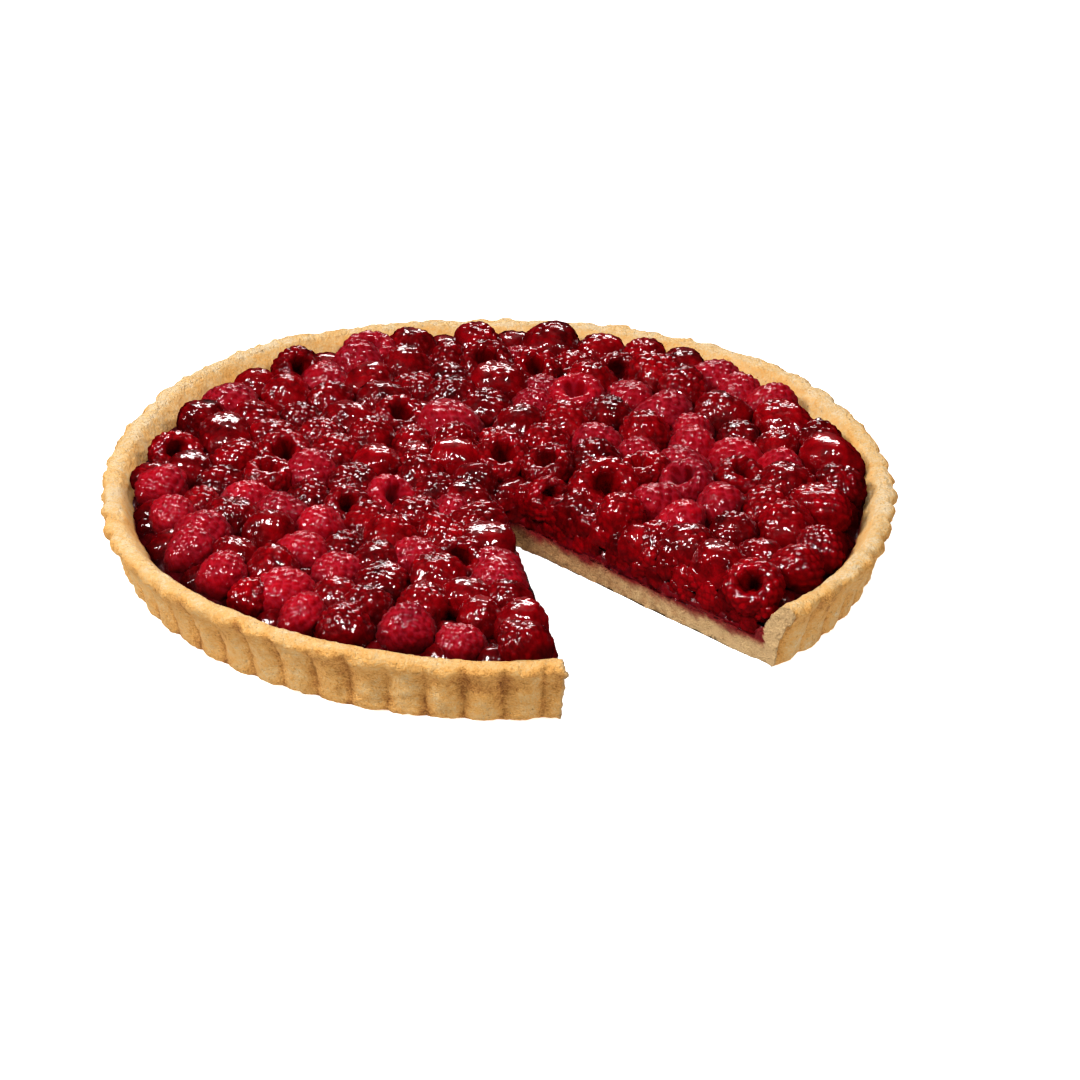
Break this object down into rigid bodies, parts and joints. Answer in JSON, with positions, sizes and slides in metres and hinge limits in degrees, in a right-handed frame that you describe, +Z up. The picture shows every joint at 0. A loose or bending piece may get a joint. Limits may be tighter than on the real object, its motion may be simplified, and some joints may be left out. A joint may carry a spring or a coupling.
{
  "type": "raspberry tart",
  "caption": "Round raspberry tart: a fluted shortcrust case, a layer of jam and a glazed heap of whole raspberries, with a portion cut out.",
  "frame": {"origin": "centre of the whole tart on its flat underside", "axes": "+Z up through the fruit; -Y towards the side where the portion is missing, +X to the right seen from there"},
  "size_m": [0.2692, 0.2683, 0.0334],
  "materials": {
    "shortcrust": "dry, fine-grained baked shortcrust",
    "jam": "wet, dark set jam",
    "raspberries": "raspberries under a clear glaze"
  },
  "bodies": {
    "root": {"crust": "shortcrust", "jam_layer": "jam", "raspberry_heap": "raspberries"}
  },
  "joints": []
}
